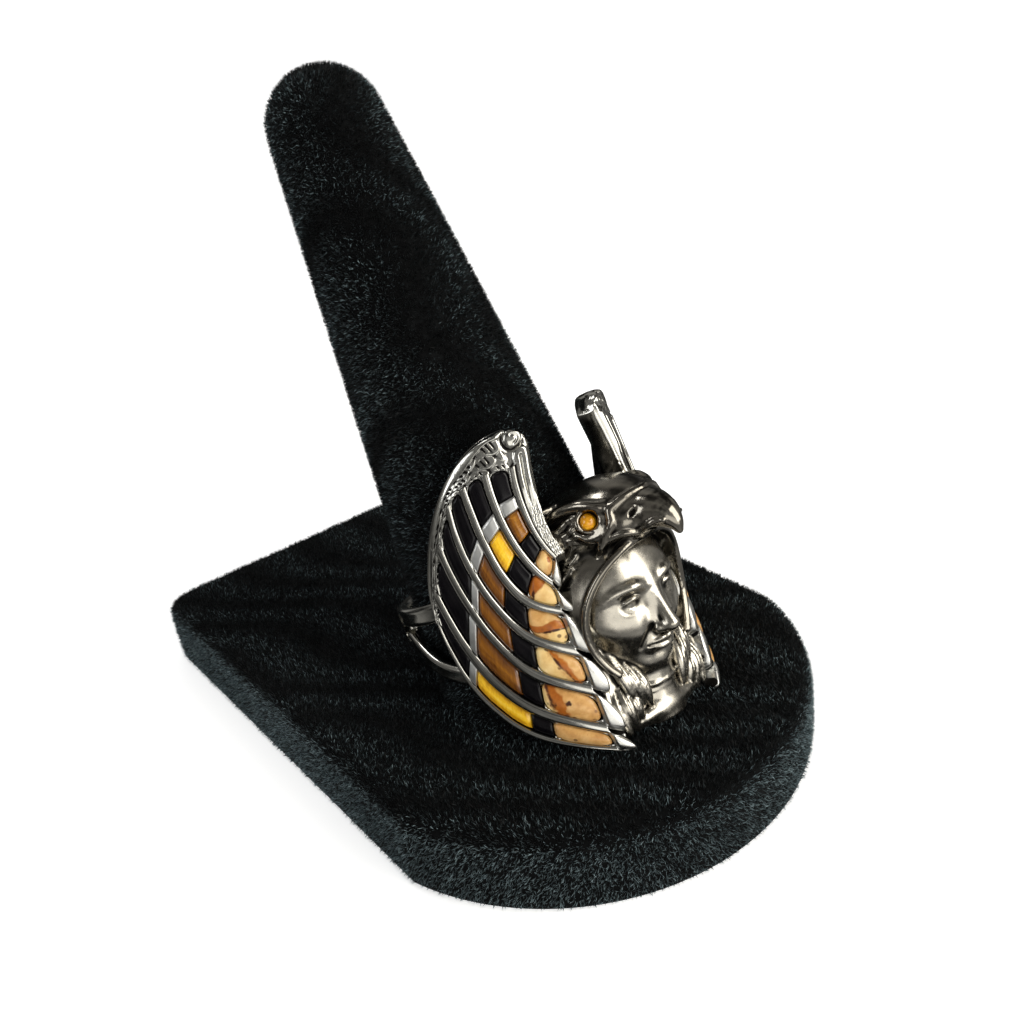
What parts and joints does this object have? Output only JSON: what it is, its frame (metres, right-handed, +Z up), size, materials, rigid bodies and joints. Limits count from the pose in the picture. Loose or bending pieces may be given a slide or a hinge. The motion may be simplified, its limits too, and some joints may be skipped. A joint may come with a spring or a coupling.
{
  "type": "inlay ring on a finger display stand",
  "caption": "Silver ring with a warrior's head in an eagle headdress between spread wings of stone inlay, on a black velvet finger display stand.",
  "frame": {"origin": "middle of the base's rectangular extent, on its resting face", "axes": "+Z up; -Y towards the round front of the base, which the head faces; the finger leans to +Y"},
  "size_m": [0.048, 0.0723, 0.0649],
  "materials": {
    "silver": "polished silver, darkened in the recesses",
    "onyx": "polished black",
    "tiger_eye": "polished golden brown",
    "jasper": "polished tan and cream",
    "amber": "polished amber",
    "velvet": "short black pile"
  },
  "bodies": {
    "root": {"ring_casting": "silver", "long_onyx_left": "onyx", "eagle_eye_left": "amber", "long_onyx_right": "onyx", "eagle_eye_right": "amber", "tiger_eye_left_1": "tiger_eye", "tiger_eye_left_2": "tiger_eye", "tiger_eye_left_3": "tiger_eye", "tiger_eye_left_4": "tiger_eye", "tiger_eye_left_5": "tiger_eye", "tiger_eye_left_6": "tiger_eye", "tiger_eye_right_1": "tiger_eye", "tiger_eye_right_2": "tiger_eye", "tiger_eye_right_3": "tiger_eye", "tiger_eye_right_4": "tiger_eye", "tiger_eye_right_5": "tiger_eye", "tiger_eye_right_6": "tiger_eye", "short_onyx_left_1": "onyx", "short_onyx_left_2": "onyx", "short_onyx_left_3": "onyx", "short_onyx_left_4": "onyx", "short_onyx_left_5": "onyx", "short_onyx_left_6": "onyx", "short_onyx_right_1": "onyx", "short_onyx_right_2": "onyx", "short_onyx_right_3": "onyx", "short_onyx_right_4": "onyx", "short_onyx_right_5": "onyx", "short_onyx_right_6": "onyx", "jasper_left_1": "jasper", "jasper_left_2": "jasper", "jasper_left_3": "jasper", "jasper_left_4": "jasper", "jasper_left_5": "jasper", "jasper_left_6": "jasper", "jasper_right_1": "jasper", "jasper_right_2": "jasper", "jasper_right_3": "jasper", "jasper_right_4": "jasper", "jasper_right_5": "jasper", "jasper_right_6": "jasper", "stand_base": "velvet", "stand_finger": "velvet"}
  },
  "joints": []
}
